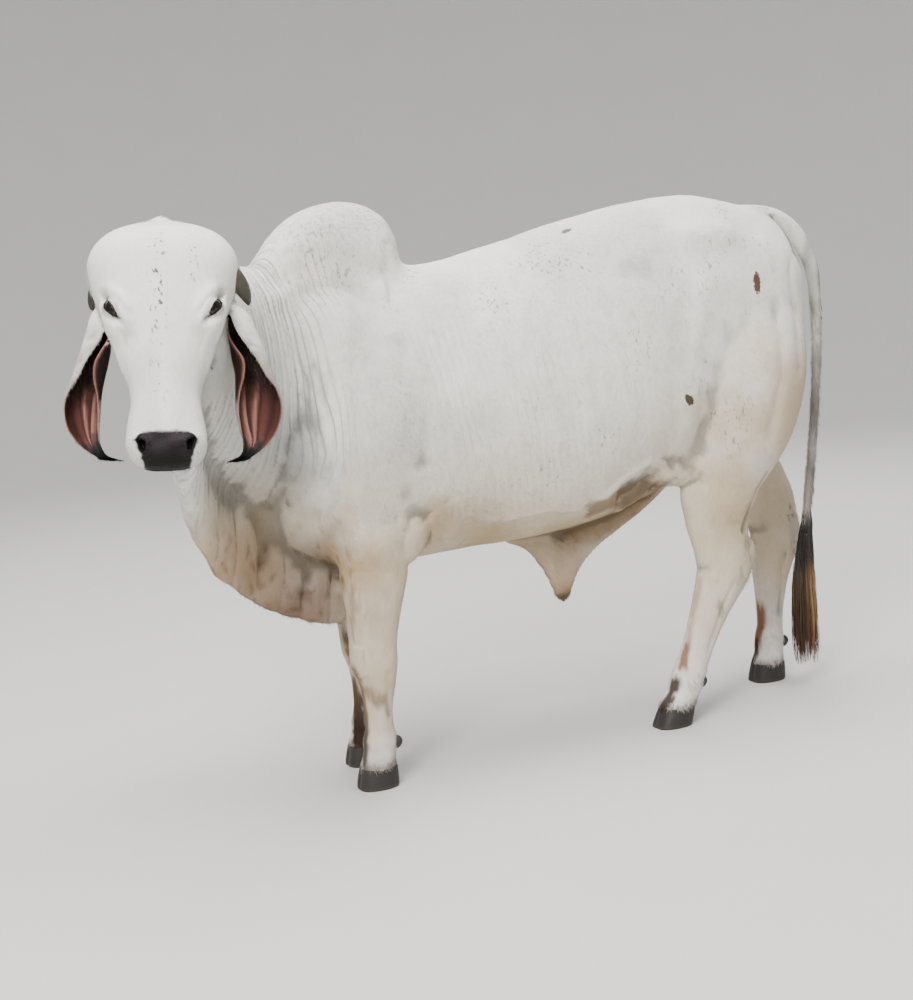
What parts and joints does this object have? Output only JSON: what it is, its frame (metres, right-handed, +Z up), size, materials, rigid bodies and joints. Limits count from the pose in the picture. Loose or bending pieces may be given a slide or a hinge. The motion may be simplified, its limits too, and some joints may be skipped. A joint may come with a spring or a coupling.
{
  "type": "gyr cattle",
  "caption": "Life-size standing zebu bull with a shoulder hump, long hanging ears, deep dewlap, cloven hooves and a tufted tail.",
  "frame": {"origin": "centre of the bounding box in plan, on the floor under the hooves", "axes": "+Z up; the bull stands along X and faces -X, with its head turned towards -Y; -Y is its left side, +Y its right side"},
  "size_m": [2.1615, 0.7404, 1.4394],
  "materials": {
    "hide": "short white hair over skin",
    "ear_skin": "soft, sparse hair",
    "horn": "worn horn",
    "hoof": "worn horn",
    "eye": "wet gloss",
    "switch_hair": "coarse hair"
  },
  "bodies": {
    "root": {"dewlap": "hide", "ear_left": "ear_skin", "ear_right": "ear_skin", "eye_left": "eye", "eye_right": "eye", "foreleg_left_claw_near": "hoof", "foreleg_left_claw_off": "hoof", "foreleg_left_dewclaw_near": "hoof", "foreleg_left_dewclaw_off": "hoof", "foreleg_left_lower": "hide", "foreleg_left_upper": "hide", "foreleg_right_claw_near": "hoof", "foreleg_right_claw_off": "hoof", "foreleg_right_dewclaw_near": "hoof", "foreleg_right_dewclaw_off": "hoof", "foreleg_right_lower": "hide", "foreleg_right_upper": "hide", "head": "hide", "hindleg_left_claw_near": "hoof", "hindleg_left_claw_off": "hoof", "hindleg_left_dewclaw_near": "hoof", "hindleg_left_dewclaw_off": "hoof", "hindleg_left_lower": "hide", "hindleg_left_upper": "hide", "hindleg_right_claw_near": "hoof", "hindleg_right_claw_off": "hoof", "hindleg_right_dewclaw_near": "hoof", "hindleg_right_dewclaw_off": "hoof", "hindleg_right_lower": "hide", "hindleg_right_upper": "hide", "horn_left": "horn", "horn_right": "horn", "hump": "hide", "neck": "hide", "scrotum": "hide", "sheath": "hide", "tail_lower": "hide", "tail_middle": "hide", "tail_switch": "switch_hair", "tail_upper": "hide", "torso": "hide"}
  },
  "joints": []
}
